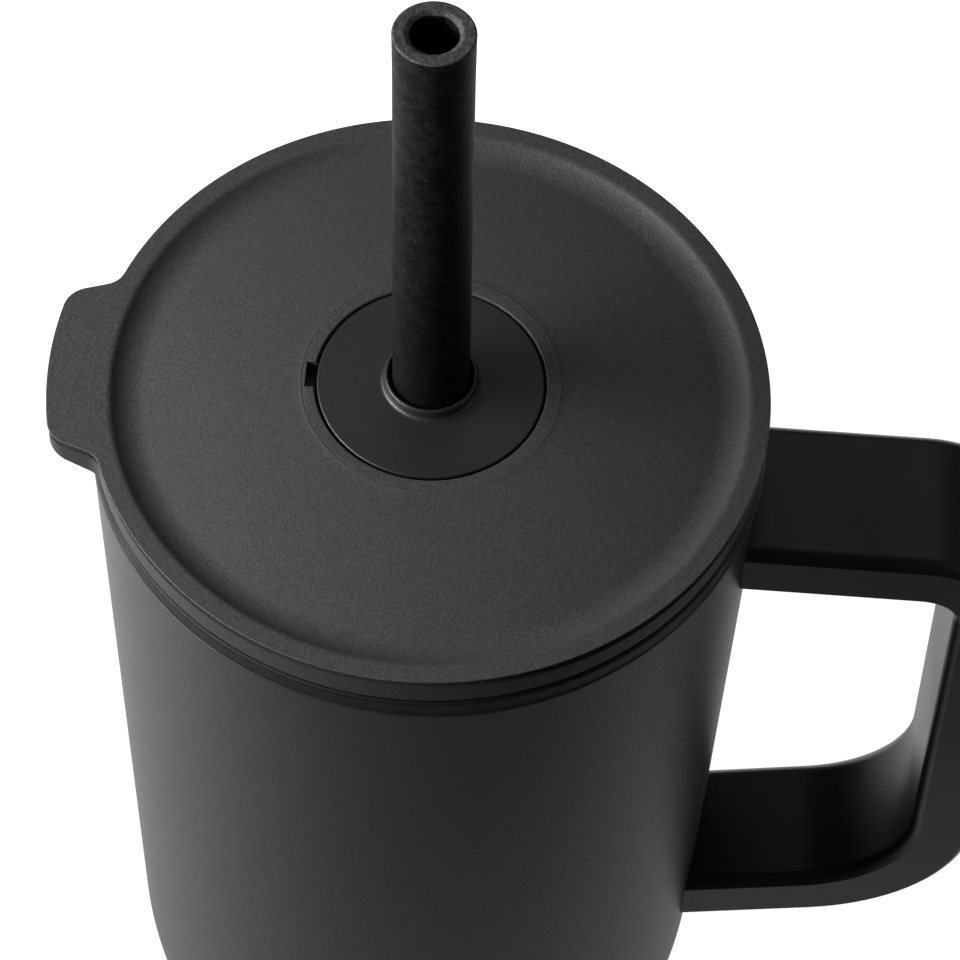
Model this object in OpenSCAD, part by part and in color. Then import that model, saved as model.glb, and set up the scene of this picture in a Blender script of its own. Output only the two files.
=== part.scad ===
// Insulated straw mug: a double-walled steel cup with a strap handle, a press-in lid with a pull tab,
// a lift-out straw disc in the middle of the lid, and a soft straw on a rigid lower tube.
// Millimetres. +Z is up, the origin is the centre of the foot, the handle is on +X and the tab on -X.

/* [Cup] */
// Height of the cup's rim above the foot
cup_h = 199.8; // [196:0.1:206]
// Outer radius of the painted wall, taken up to the rim
cup_top_r = 51.2; // [50.8:0.05:51.3]
// Outer radius at the bend, where the cup-holder base begins
cup_bend_r = 47.2; // [46:0.1:48]
// Height of the bend above the foot
cup_bend_z = 57; // [50:1:62]
// Outer radius of the wall just above the foot
cup_foot_r = 38.8; // [38:0.1:41]
// Height of the bare band of lip under the lid
lip_band_h = 3.3; // [2:0.1:5]
// Thickness of each steel wall
steel_t = 0.8; // [0.6:0.05:1]
// Vacuum gap between the two walls
vacuum_gap = 3; // [2.5:0.1:3.6]
// Inner radius of the straight mouth that the lid presses into
mouth_r = 48; // [47.9:0.05:48.2]
// Depth of the straight mouth
mouth_depth = 22; // [20:0.5:26]

/* [Handle] */
// Width of the strap
strap_w = 25.1; // [20:0.1:26]
// Thickness of the strap
strap_t = 10.8; // [9.6:0.1:11]
// Rounding of the strap's long edges
strap_edge_r = 2; // [1:0.1:3]
// Height of the upper arm's top face above the foot
upper_arm_z = 185.5; // [183:0.1:188]
// Height of the lower arm's top face, 60 mm out from the axis
lower_arm_z = 82.1; // [78:0.1:88]
// Slope of the lower arm, in degrees above level
lower_arm_slope = 13.6; // [8:0.1:18]
// Distance from the axis to the inner face of the grip
grip_in_x = 82.2; // [80:0.1:88]
// Inner radius of the upper bend
upper_bend_r = 5.5; // [5:0.5:12]
// Inner radius of the lower bend
lower_bend_r = 22.1; // [16:0.1:24]

/* [Lid] */
// Outer radius of the lid's cover
lid_r = 51; // [51:0.1:51.6]
// Height of the cover's rim above the cup's rim
lid_h = 6.2; // [5.8:0.1:6.4]
// Inner radius of the flat rim of the cover
rim_in_r = 48.3; // [47:0.1:49]
// Outer radius of the domed deck
deck_r = 44.7; // [43:0.1:45.5]
// Depth of the soft step from the rim down to the deck's edge
step_depth = 1.3; // [0.8:0.1:1.6]
// Height of the deck at the disc above the rim
dome_h = 1.9; // [1:0.1:2.4]
// Thickness of the cover
cover_t = 1.8; // [1.5:0.1:2]
// Reach of the pull tab from the axis
tab_reach = 57.4; // [56:0.1:60]
// Width of the pull tab at its outer corners
tab_w = 28; // [24:0.5:30]
// Depth of the plug below the cup's rim
plug_depth = 19; // [17:0.5:20]

/* [Straw disc] */
// Radius of the disc
disc_r = 17; // [16.5:0.1:17.2]
// Gap around the disc
disc_gap = 0.35; // [0.3:0.05:0.5]
// Outer radius of the collar around the straw
collar_r = 7; // [6.9:0.1:7.6]
// Height of the collar above the disc's edge
collar_h = 2.6; // [1.8:0.1:4]

/* [Straw] */
// Outer radius of the soft mouthpiece
mouthpiece_r = 5.75; // [5.5:0.05:5.8]
// Inner radius of the soft mouthpiece
mouthpiece_bore_r = 3.7; // [3.5:0.05:3.8]
// Height of the mouthpiece's tip above the cover's rim
straw_above = 85.6; // [70:1:110]
// Outer radius of the rigid lower tube
tube_r = 4.6; // [4.4:0.05:4.7]

/* [Hidden] */
$fn = 96;

fit_gap = 0.05;                       // radial clearance of a running fit
shadow_gap = 0.3;                     // visible gap between two outer pieces
big = 200;                            // larger than the mug, for cutters

// cup
coat_t = 0.15;                        // paint build-up over the bare lip
coat_z = cup_h - lip_band_h;
foot_round = 3;                       // rounding of the wall into the foot
hem_r = cup_foot_r - 3.4;             // inside of the folded hem
hem_h = 6.5;
bottom_z = 3.4;                       // underside of the structural bottom
dimple_r = 5;
dimple_h = 1.2;
bead_r = 3.2;
evac_r = 0.8;
cap_z = 1.2;
cap_t = 0.8;
cap_dish = 0.5;
liner_floor_z = 8.2;
liner_fillet = 8;
neck_h = 7;                           // length of the step from the mouth down to the bowl
rim_join_h = 1.2;                     // height of the welded rim
getter_x = 16;
getter_r = 5;
getter_h = 2;

// handle
arm_ref_x = 60;                       // where the lower arm's height is measured
upper_mid_z = upper_arm_z - strap_t / 2;
lower_mid_z = lower_arm_z - strap_t / 2 / cos(lower_arm_slope);
grip_mid_x = grip_in_x + strap_t / 2;
upper_arc_r = upper_bend_r + strap_t / 2;
lower_arc_r = lower_bend_r + strap_t / 2;
upper_arc_x = grip_mid_x - upper_arc_r;
upper_arc_z = upper_mid_z - upper_arc_r;
lower_arc_x = grip_mid_x - lower_arc_r;
lower_arc_z = round(100 * (lower_mid_z + (lower_arc_x - arm_ref_x) * tan(lower_arm_slope)
    + lower_arc_r / cos(lower_arm_slope))) / 100;
arm_root_x = 40;                      // the arms are cut to the wall from here
arm_inset = 0.05;
arm_overlap = 0.8;
bracket_w = 13;
bracket_t = 3;
bracket_len = 20;
bracket_clear = 0.1;
screw_x = 62;
screw_r = 1.75;
screw_head_r = 3.2;
screw_head_h = 1.6;
screw_pocket = 2.7;                   // depth of the screw's pocket in the arm
cap_r = 3.6;
plug_t = 1;

// lid
rim_z = cup_h + lid_h;                // top of the cover's rim
deck_z = rim_z - step_depth;          // outer edge of the deck
dome_z = rim_z + dome_h;              // deck at the disc
edge_t = 0.5;                         // visible thickness of the cover's edge
groove_h = 1.4;
groove_depth = 0.55;
skirt_r = lid_r - 0.2;
skirt_top_z = rim_z - edge_t - groove_h;
skirt_z = cup_h + shadow_gap;
flange_t = 1.6;
plug_r = mouth_r - 0.7;
plug_wall = 1.8;
plug_z = cup_h - plug_depth;
seal_z = cup_h - 13;
seal_h = 6;
seal_depth = 1.4;
socket_r = 14.6;                      // socket for the disc's plug
socket_wall = 1.6;
socket_top_z = dome_z - 4.4;
tab_corner = 4.5;
tab_root = 3;                         // flare of the tab where it meets the rim
tab_under = 3.4;                      // depth of the tab at its root
tab_tip = 1.8;                        // depth of the tab at its tip
notch_w = 4.5;
notch_reach = 1.4;
notch_depth = 1.2;
arc_steps = 8;

// disc and straw
disc_t = 2.2;
disc_dome = 0.5;
disc_round = 0.5;
collar_bore_r = mouthpiece_r + 0.35;
insert_r = socket_r - 0.7;
insert_wall = 1.5;
insert_z = rim_z - 20;
ring_seal_z = rim_z - 11;
ring_seal_h = 2.6;
ring_seal_depth = 1;
barrel_r = 8.8;
barrel_z = rim_z - 20;
stop_z = rim_z - 13;                  // ledge that the mouthpiece rests on
stop_t = 2;
grommet_r = 7.2;
grommet_ring_t = 1.2;
tip_round = 0.4;
spigot_len = 14;
spigot_bore_r = 2.9;
tube_z = liner_floor_z + 4.8;
tube_bore_r = tube_r - 1;
foot_cut = 3;

// Outer radius of the wall at a height, above the foot's rounding
function lower_r(z) = cup_foot_r + (cup_bend_r - cup_foot_r) * (z - foot_round) / (cup_bend_z - foot_round);
function upper_r(z) = cup_bend_r + (cup_top_r - cup_bend_r) * (z - cup_bend_z) / (cup_h - cup_bend_z);
// Quadratic blend through a corner, from a to c
function blend(a, b, c, n) = [for (i = [0 : n]) let (t = i / n)
    (1 - t) * (1 - t) * a + 2 * t * (1 - t) * b + t * t * c];
// Arc about (x, z), from one angle to another
function arc(x, z, r, from, to, n) = [for (i = [0 : n]) let (a = from + (to - from) * i / n)
    [x + r * cos(a), z + r * sin(a)]];
// The bend between the two tapers, inset by a distance
function bend_line(inset, reach) = blend(
    [lower_r(cup_bend_z - reach) - inset, cup_bend_z - reach],
    [cup_bend_r - inset, cup_bend_z],
    [upper_r(cup_bend_z + reach) - inset, cup_bend_z + reach], 6);

// Wall of the cup as seen from outside, with its folded hem at the foot and bare lip at the rim
module outer_shell() {
    outside = concat(
        [[hem_r, 0]],
        arc(cup_foot_r - foot_round, foot_round, foot_round, 270, 360, arc_steps),
        bend_line(0, 6),
        [[upper_r(coat_z), coat_z], [upper_r(coat_z) - coat_t, coat_z]],
        arc(upper_r(cup_h) - coat_t - 0.5, cup_h - 0.5, 0.5, 0, 90, 4));
    inside = concat(
        [[upper_r(cup_h) - steel_t - coat_t, cup_h]],
        [for (i = [6 : -1 : 0]) bend_line(steel_t, 6)[i]],
        [[cup_foot_r - steel_t, foot_round]],
        arc(cup_foot_r - foot_round, foot_round, foot_round - steel_t, 360, 270, arc_steps),
        [[hem_r + steel_t, steel_t], [hem_r + steel_t, hem_h], [hem_r, hem_h]]);
    color("#2b2b2b") rotate_extrude() polygon(concat(outside, inside));
}

// Inner wall: straight mouth, short neck, bowl and rounded floor
module inner_liner() {
    bowl_inset = 2 * steel_t + vacuum_gap;
    neck_z = cup_h - mouth_depth - neck_h;
    mouth_z = cup_h - mouth_depth;
    floor_r = lower_r(liner_floor_z) - bowl_inset;
    inside = concat(
        [[0, liner_floor_z]],
        arc(floor_r - liner_fillet, liner_floor_z + liner_fillet, liner_fillet, 270, 352, arc_steps),
        bend_line(bowl_inset, 6),
        [[upper_r(neck_z) - bowl_inset, neck_z], [mouth_r, mouth_z], [mouth_r, cup_h - 0.4],
            [mouth_r + 0.4, cup_h]]);
    outside = concat(
        [[upper_r(cup_h) - steel_t - coat_t, cup_h],
            [upper_r(cup_h - rim_join_h) - steel_t - coat_t, cup_h - rim_join_h],
            [mouth_r + steel_t, cup_h - rim_join_h], [mouth_r + steel_t, mouth_z],
            [upper_r(neck_z) - bowl_inset + steel_t, neck_z]],
        [for (i = [6 : -1 : 0]) bend_line(bowl_inset - steel_t, 6)[i]],
        arc(floor_r - liner_fillet, liner_floor_z + liner_fillet, liner_fillet + steel_t, 352, 270, arc_steps),
        [[0, liner_floor_z - steel_t]]);
    color("#b9bbbd") rotate_extrude() polygon(concat(inside, outside));
}

// Structural bottom, welded inside the hem, with a dimple and its evacuation hole
module shell_bottom() {
    top_z = bottom_z + steel_t;
    color("#a9abad") rotate_extrude() polygon([
        [evac_r, bottom_z + dimple_h], [dimple_r - 0.6, bottom_z + dimple_h], [dimple_r, bottom_z],
        [hem_r, bottom_z], [hem_r, top_z], [dimple_r + 0.3, top_z],
        [dimple_r - 0.3, top_z + dimple_h], [evac_r, top_z + dimple_h]]);
}

// Bead of solder glass that closes the evacuation hole
module vacuum_seal() {
    color("#6d6a60") rotate_extrude() polygon(concat(
        [[0, bottom_z + dimple_h]],
        [[bead_r, bottom_z + dimple_h]],
        arc(bead_r - 0.5, bottom_z + dimple_h - 0.5, 0.5, 0, -90, 4),
        [[0, bottom_z + dimple_h - 1]]));
}

// Dished plate that covers the dimple
module base_cap() {
    flat_r = hem_r - 6;
    color("#9d9fa1") rotate_extrude() polygon([
        [0, cap_z + cap_dish], [flat_r - 4, cap_z + cap_dish], [flat_r, cap_z], [hem_r, cap_z],
        [hem_r, cap_z + cap_t], [flat_r, cap_z + cap_t], [flat_r - 4, cap_z + cap_t + cap_dish],
        [0, cap_z + cap_t + cap_dish]]);
}

// Gas absorber, spot-welded under the liner's floor
module getter() {
    color("#77746c") translate([getter_x, 0, liner_floor_z - steel_t - getter_h])
        union() {
            cylinder(r = getter_r, h = getter_h);
            translate([0, -1.5, getter_h - 0.4]) cube([getter_r + 4, 3, 0.4]);
        }
}

// Everything inside the painted wall, used to trim what is fixed to it
module cup_envelope() {
    rotate_extrude() polygon(concat(
        [[0, foot_round], [cup_foot_r, foot_round]],
        bend_line(0, 6),
        [[upper_r(cup_h), cup_h], [0, cup_h]]));
}

// Places what follows in an arm's own frame: x along the arm, z across it, origin under the screw
module on_upper_arm() {
    translate([screw_x, 0, upper_mid_z]) children();
}
module on_lower_arm() {
    translate([screw_x, 0, lower_mid_z + (screw_x - arm_ref_x) * tan(lower_arm_slope)])
        rotate([0, -lower_arm_slope, 0]) children();
}

// Steel tongue welded to the wall, inside an arm
module bracket(clear) {
    root = screw_x - arm_root_x;
    tip = bracket_len - root / 2;
    translate([-root, -bracket_w / 2 - clear, 0.8 - clear])
        cube([root + tip / 2 + clear, bracket_w + 2 * clear, bracket_t + 2 * clear]);
}
module tapped_bracket() {
    difference() {
        bracket(0);
        translate([0, 0, -strap_t]) cylinder(r = screw_r, h = 2 * strap_t);
    }
}
module upper_bracket() {
    color("#8b8d90") difference() {
        on_upper_arm() tapped_bracket();
        cup_envelope();
    }
}
module lower_bracket() {
    color("#8b8d90") difference() {
        on_lower_arm() tapped_bracket();
        cup_envelope();
    }
}

// Rounded section of the strap: x is across its thickness, y across its width
module strap_section(inset = 0) {
    r = strap_edge_r;
    t = strap_t - 2 * inset;
    w = strap_w - 2 * inset;
    union() {
        square([t - 2 * r, w], center = true);
        square([t, w - 2 * r], center = true);
        for (x = [-1, 1], y = [-1, 1])
            translate([x * (t / 2 - r), y * (w / 2 - r)]) circle(r = r, $fn = 48);
    }
}
// Bend of the strap about the Y axis, from +X round towards +Z
module strap_bend(r, sweep) {
    rotate([90, 0, 0]) rotate_extrude(angle = sweep) translate([r, 0]) strap_section();
}
module screw_pocket() {
    translate([0, 0, -strap_t / 2 - 1]) cylinder(r = cap_r, h = plug_t + 1);
    translate([0, 0, -strap_t / 2 - 1]) cylinder(r = screw_head_r + 0.1, h = screw_pocket + 1);
    translate([0, 0, -strap_t / 2]) cylinder(r = screw_r + 0.15, h = strap_t - 2);
}
module handle_blank() {
    lower_len = lower_arc_x - arm_root_x;
    union() {
        translate([arm_root_x, 0, upper_mid_z]) rotate([0, 90, 0])
            linear_extrude(upper_arc_x - arm_root_x) strap_section();
        translate([upper_arc_x, 0, upper_arc_z]) strap_bend(upper_arc_r, 90);
        translate([grip_mid_x, 0, lower_arc_z])
            linear_extrude(upper_arc_z - lower_arc_z) strap_section();
        translate([lower_arc_x, 0, lower_arc_z]) mirror([0, 0, 1])
            strap_bend(lower_arc_r, 90 - lower_arm_slope);
        // the lower arm is a hair slimmer and runs a little way into the bend
        translate([lower_arc_x, 0, lower_arc_z]) rotate([0, -lower_arm_slope, 0])
            translate([-lower_len, 0, -lower_arc_r]) rotate([0, 90, 0])
                linear_extrude(lower_len + arm_overlap) strap_section(arm_inset);
    }
}
// Strap handle, moulded in one piece, with a slot and a screw pocket in each arm
module handle() {
    color("#1c1c1c") difference() {
        handle_blank();
        cup_envelope();
        on_upper_arm() {
            bracket(bracket_clear);
            screw_pocket();
        }
        on_lower_arm() {
            bracket(bracket_clear);
            screw_pocket();
        }
    }
}

// Screws that hold the handle to the two brackets
module handle_screw() {
    head_z = -strap_t / 2 + screw_pocket;
    union() {
        difference() {
            translate([0, 0, head_z - screw_head_h]) cylinder(r = screw_head_r, h = screw_head_h);
            translate([0, 0, head_z - screw_head_h - 0.1]) cylinder(r = 1.3, h = 1, $fn = 6);
        }
        translate([0, 0, head_z]) cylinder(r = screw_r, h = 0.8 + bracket_t - head_z);
    }
}
module handle_screws() {
    color("#c0c0c0") on_upper_arm() handle_screw();
    color("#c0c0c0") on_lower_arm() handle_screw();
}

// Plugs that hide the screws
module screw_cap() {
    translate([0, 0, -strap_t / 2]) cylinder(r = cap_r, h = plug_t);
}
module screw_caps() {
    color("#202020") on_upper_arm() screw_cap();
    color("#202020") on_lower_arm() screw_cap();
}

// Plan of the lid with its pull tab, inset by a distance
module lid_plan(inset) {
    half = tab_w / 2 - inset;
    tip = tab_reach - inset;
    root_x = lid_r - tab_root;
    union() {
        circle(r = lid_r - inset, $fn = 180);
        difference() {
            union() {
                intersection() {
                    circle(r = tip, $fn = 180);
                    translate([-tip - 1, -half + tab_corner])
                        square([tip, 2 * (half - tab_corner)]);
                }
                for (y = [-1, 1])
                    translate([-tip + tab_corner + tab_tip_sag(half), y * (half - tab_corner)])
                        circle(r = tab_corner, $fn = 64);
                polygon([
                    [-tip + tab_corner + tab_tip_sag(half), -half], [-tip + tab_corner + tab_tip_sag(half), half],
                    [-root_x, half + tab_root], [0, half], [0, -half], [-root_x, -half - tab_root]]);
            }
        }
    }
}
// How far the round tip falls back at the centre of its corners
function tab_tip_sag(half) = tab_reach - sqrt(pow(tab_reach, 2) - pow(half - tab_corner, 2));

// Top of the lid: flat rim, soft step and domed deck
function deck_line(drop) = let (
    in_r = disc_r + disc_gap,
    slope_r = deck_r - 8)
    concat(
        [[in_r, dome_z - drop]],
        blend([in_r, dome_z - drop], [(in_r + slope_r) / 2, dome_z - drop - 0.1],
            [slope_r, deck_z + 0.55 - drop], 5),
        [[deck_r, deck_z - drop]],
        blend([deck_r, deck_z - drop], [deck_r + 1.6, deck_z - 0.1 - drop],
            [(deck_r + rim_in_r) / 2 + 0.4, deck_z + step_depth / 2 - drop], 5),
        blend([(deck_r + rim_in_r) / 2 + 0.4, deck_z + step_depth / 2 - drop],
            [rim_in_r - 0.5, rim_z - drop], [rim_in_r + 0.7, rim_z - drop], 5));

// Cover of the lid, with the upper half of the tab, the hole for the disc and the nail notch
module lid_cover() {
    inner = disc_r + disc_gap;
    under_z = rim_z - edge_t - groove_h;
    color("#333333") difference() {
        union() {
            translate([0, 0, rim_z - edge_t]) linear_extrude(edge_t) lid_plan(0);
            translate([0, 0, under_z]) linear_extrude(groove_h) lid_plan(groove_depth);
            rotate_extrude() polygon([
                [inner, dome_z - cover_t - 1.2], [inner + 2, dome_z - cover_t - 1.2],
                [deck_r - 2, under_z], [deck_r, under_z], [deck_r, deck_z], [inner, dome_z]]);
        }
        rotate_extrude() polygon(concat(
            [[0, rim_z + 10], [0, dome_z]], deck_line(0), [[lid_r + 1, rim_z], [lid_r + 1, rim_z + 10]]));
        translate([0, 0, under_z - 5]) cylinder(r = inner, h = 20);
        rotate_extrude() polygon([
            [inner + 1.6, under_z - 1], [inner + 1.6, dome_z - cover_t - 0.6],
            [deck_r - 8, deck_z + 0.55 - cover_t], [deck_r - 1.5, under_z], [deck_r - 1.5, under_z - 1]]);
        translate([-inner - notch_reach, -notch_w / 2, dome_z - notch_depth])
            cube([notch_reach + 1, notch_w, 10]);
    }
}

// Lower shell of the lid: skirt, tab, plug wall, floor and the socket for the disc
module lid_base() {
    socket_out = socket_r + socket_wall;
    seat_r = disc_r + disc_gap + 1.6;
    color("#2e2e2e") difference() {
        union() {
            translate([0, 0, skirt_z]) linear_extrude(skirt_top_z - skirt_z) lid_plan(lid_r - skirt_r);
            rotate_extrude() polygon([
                [plug_r - plug_wall, plug_z], [plug_r - 0.6, plug_z], [plug_r, plug_z + 0.6],
                [plug_r, cup_h], [skirt_r - 1.6, cup_h], [skirt_r - 1.6, skirt_z + 1],
                [plug_r - plug_wall, skirt_z + 1]]);
            rotate_extrude() polygon([
                [socket_r, plug_z], [plug_r - plug_wall, plug_z], [plug_r - plug_wall, plug_z + flange_t],
                [socket_out, plug_z + flange_t], [socket_out, socket_top_z - 2],
                [seat_r, socket_top_z - 2], [seat_r, socket_top_z], [socket_r, socket_top_z]]);
        }
        rotate_extrude() polygon([
            [socket_out, plug_z + flange_t], [plug_r - plug_wall, plug_z + flange_t],
            [plug_r - plug_wall, cup_h], [plug_r - plug_wall, skirt_top_z + 1], [seat_r, skirt_top_z + 1],
            [seat_r, socket_top_z - 2], [socket_out, socket_top_z - 2]]);
        translate([0, 0, plug_z - 1]) cylinder(r = socket_r, h = big);
        rotate_extrude() polygon([
            [plug_r - seal_depth, seal_z], [plug_r + 1, seal_z],
            [plug_r + 1, seal_z + seal_h], [plug_r - seal_depth, seal_z + seal_h]]);
        tab_scoop();
    }
}
// Thins the tab towards its tip, from below
module tab_scoop() {
    rise = tab_under - tab_tip;
    reach = tab_reach - lid_r;
    translate([-lid_r - 0.5, 0, skirt_z]) rotate([90, 0, 0]) linear_extrude(big, center = true)
        polygon([[0, -1], [0, 0], [-reach, rise], [-reach - 5, rise], [-reach - 5, -1]]);
}

// Double-finned silicone seal in the plug's groove
module lid_seal() {
    back_r = plug_r - seal_depth;
    fin_r = mouth_r - fit_gap;
    base_r = plug_r - 0.2;
    color("#3a3a3a") rotate_extrude() polygon([
        [back_r, seal_z], [base_r, seal_z], [base_r, seal_z + 0.6], [fin_r, seal_z + 1.4],
        [fin_r, seal_z + 1.9], [base_r, seal_z + 2.1], [base_r, seal_z + 3.6],
        [fin_r, seal_z + 4.3], [fin_r, seal_z + 4.8], [base_r, seal_z + 5.1],
        [base_r, seal_z + seal_h], [back_r, seal_z + seal_h]]);
}

// Disc with its collar, the plug that presses into the lid, and the barrel that carries the straw
module straw_disc() {
    top_z = dome_z;
    collar_z = dome_z + collar_h;
    plate_z = dome_z - disc_t;
    hill_z = top_z + disc_dome;
    wall_in = insert_r - insert_wall;
    lip = (collar_r - collar_bore_r) / 2;
    color("#242424") difference() {
        rotate_extrude() polygon(concat(
            [[collar_bore_r, stop_z - 1], [collar_bore_r, collar_z - lip]],
            arc(collar_r - lip, collar_z - lip, lip, 180, 0, arc_steps),
            blend([collar_r, hill_z + 0.7], [collar_r + 0.1, hill_z], [collar_r + 1.6, hill_z - 0.05], 5),
            arc(disc_r - disc_round, top_z - disc_round, disc_round, 90, 0, 4),
            [[disc_r, plate_z], [insert_r, plate_z], [insert_r, insert_z + 0.5],
                [insert_r - 0.5, insert_z], [wall_in, insert_z], [wall_in, plate_z],
                [barrel_r, plate_z], [barrel_r, barrel_z], [grommet_r, barrel_z],
                [grommet_r, stop_z - stop_t], [tube_r + 0.3, stop_z - stop_t],
                [tube_r + 0.3, stop_z], [collar_bore_r, stop_z]]));
        rotate_extrude() polygon([
            [insert_r - ring_seal_depth, ring_seal_z], [insert_r + 1, ring_seal_z],
            [insert_r + 1, ring_seal_z + ring_seal_h], [insert_r - ring_seal_depth, ring_seal_z + ring_seal_h]]);
    }
}

// Silicone ring that seals the disc's plug in its socket
module disc_seal() {
    back_r = insert_r - ring_seal_depth;
    out_r = socket_r - fit_gap;
    mid_z = ring_seal_z + ring_seal_h / 2;
    color("#3a3a3a") rotate_extrude() polygon([
        [back_r, ring_seal_z], [insert_r - 0.1, ring_seal_z], [out_r, mid_z - 0.5],
        [out_r, mid_z + 0.5], [insert_r - 0.1, ring_seal_z + ring_seal_h], [back_r, ring_seal_z + ring_seal_h]]);
}

// Silicone sleeve that wipes the lower tube
module straw_grommet() {
    bottom = barrel_z + grommet_ring_t;
    top = stop_z - stop_t;
    color("#3a3a3a") translate([0, 0, bottom]) difference() {
        cylinder(r = grommet_r, h = top - bottom);
        translate([0, 0, -1]) cylinder(r = tube_r + fit_gap, h = top - bottom + 2);
    }
}

// Ring pressed in below the sleeve to hold it
module grommet_ring() {
    color("#242424") translate([0, 0, barrel_z]) difference() {
        cylinder(r = grommet_r, h = grommet_ring_t);
        translate([0, 0, -1]) cylinder(r = tube_r + 0.4, h = grommet_ring_t + 2);
    }
}

// Soft straw that the drinker uses
module straw_mouthpiece() {
    tip_z = rim_z + straw_above;
    r = tip_round;
    color("#202020") rotate_extrude() polygon(concat(
        [[mouthpiece_bore_r, stop_z], [mouthpiece_r, stop_z]],
        arc(mouthpiece_r - r, tip_z - r, r, 0, 90, 4),
        arc(mouthpiece_bore_r + r, tip_z - r, r, 90, 180, 4)));
}

// Rigid tube that reaches the floor, with a barbed spigot for the mouthpiece and a cut foot
module straw_tube() {
    spigot_r = mouthpiece_bore_r;
    top_z = stop_z + spigot_len;
    color("#1d1d1d") difference() {
        rotate_extrude() polygon([
            [tube_bore_r, tube_z], [tube_r - 0.3, tube_z], [tube_r, tube_z + 0.3], [tube_r, stop_z],
            [spigot_r, stop_z], [spigot_r, top_z - 0.6], [spigot_r - 0.4, top_z],
            [spigot_bore_r, top_z], [spigot_bore_r, stop_z - 4], [tube_bore_r, stop_z - 5]]);
        translate([0, 0, tube_z]) rotate([0, 45, 0])
            cube([foot_cut, 4 * tube_r, foot_cut], center = true);
    }
}

outer_shell();
inner_liner();
shell_bottom();
base_cap();
vacuum_seal();
getter();
upper_bracket();
lower_bracket();
handle();
handle_screws();
screw_caps();
lid_cover();
lid_base();
lid_seal();
straw_disc();
disc_seal();
straw_grommet();
grommet_ring();
straw_mouthpiece();
straw_tube();
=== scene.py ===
"""Looks of the insulated straw mug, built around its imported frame.

Dimensions are in millimetres in this script and are turned into metres when a mesh is made.
+Z is up, the handle is on +X and the lid's pull tab on -X, as in the frame.
"""

import math

import bmesh
import bpy
from mathutils import Matrix, Vector, noise


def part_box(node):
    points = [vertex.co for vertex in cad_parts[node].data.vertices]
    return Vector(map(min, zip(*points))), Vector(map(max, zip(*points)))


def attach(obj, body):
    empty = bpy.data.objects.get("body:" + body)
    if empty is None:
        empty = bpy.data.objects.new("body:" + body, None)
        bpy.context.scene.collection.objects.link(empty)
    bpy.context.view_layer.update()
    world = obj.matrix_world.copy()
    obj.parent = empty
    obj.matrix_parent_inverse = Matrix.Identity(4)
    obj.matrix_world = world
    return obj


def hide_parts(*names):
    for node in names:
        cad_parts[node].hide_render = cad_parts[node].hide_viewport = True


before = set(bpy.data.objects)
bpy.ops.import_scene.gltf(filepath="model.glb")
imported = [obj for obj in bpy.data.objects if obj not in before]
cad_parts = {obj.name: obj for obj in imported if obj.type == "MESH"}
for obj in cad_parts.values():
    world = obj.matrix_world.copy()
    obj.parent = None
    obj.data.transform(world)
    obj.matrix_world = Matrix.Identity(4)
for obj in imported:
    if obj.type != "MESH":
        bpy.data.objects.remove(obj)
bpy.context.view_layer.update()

MM = 0.001
TAU = 2 * math.pi


# ---------------------------------------------------------------- places, from the frame

def low(node):
    """Lowest corner of a CAD node, in millimetres."""
    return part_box(node)[0] / MM


def high(node):
    """Highest corner of a CAD node, in millimetres."""
    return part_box(node)[1] / MM


CUP_H = high("outer_shell").z           # rim of the cup
CUP_R = high("outer_shell").x           # painted wall, taken up to the rim
LID_R = high("lid_cover").x             # edge of the cover
TAB_REACH = -low("lid_cover").x         # tip of the pull tab
DOME_Z = high("lid_cover").z            # deck beside the disc
DISC_R = high("straw_disc").x
COLLAR_Z = high("straw_disc").z
STRAW_Z = high("straw_mouthpiece").z    # tip of the straw
STRAW_R = high("straw_mouthpiece").x
STOP_Z = low("straw_mouthpiece").z      # ledge that the mouthpiece rests on
TUBE_R = high("straw_tube").x
SEAL_Z = low("lid_seal").z
SEAL_H = high("lid_seal").z - low("lid_seal").z
MOUTH_R = high("lid_seal").x + 0.05     # the seal's fins run 0.05 mm clear
PLUG_Z = low("lid_base").z
GRIP_X = high("handle").x               # outer face of the grip
ARM_TOP = high("handle").z              # top of the upper arm
STRAP_W = 2 * high("handle").y
CAP_Z = low("base_cap").z

# wall of the cup
FOOT_R = 38.8
FOOT_ROUND = 3.0
BEND_R = 47.2
BEND_Z = 57.0
BEND_REACH = 6.0
STEEL = 0.8
VACUUM = 3.0
COAT = 0.15                             # build-up of the coating over the lip
LIP_BAND = 3.3                          # bare lip under the lid
HEM_R = FOOT_R - 3.4
HEM_H = 6.5

# lid
RIM_Z = CUP_H + 6.2                     # flat rim of the cover
RIM_IN_R = 48.3
UNDER_R = 42.7                          # where the cover's hollow underside starts
HOLE_R = DISC_R + 0.35
COVER_EDGE = 0.35                       # visible thickness of the cover's edge
GROOVE_H = 1.55
GROOVE_IN = 1.5
SKIRT_TOP = RIM_Z - COVER_EDGE - GROOVE_H
SKIRT_Z = CUP_H + 0.5
SKIRT_IN = 0.2
PLUG_R = MOUTH_R - 0.7
PLUG_WALL = 1.8
SOCKET_R = 14.6

# straw disc
INSERT_R = SOCKET_R - 0.7
RING_Z = low("disc_seal").z
RING_H = high("disc_seal").z - RING_Z
BARREL_R = 8.8
BARREL_Z = low("straw_disc").z
SLEEVE_R = 7.2

# handle
STRAP_T = 10.8
STRAP_ROUND = 2.6
STRAP_EDGE = 24                         # the rounding meets the sides in an edge of this many degrees
LOWER_ARM_Z = 82.1                      # top of the lower arm, 60 mm out from the axis
LOWER_SLOPE = math.radians(13.6)
UPPER_BEND = 5.5
LOWER_BEND = 22.1
SCREW_X = 62.0
CAP_R = 3.6


# ---------------------------------------------------------------- meshes

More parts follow.
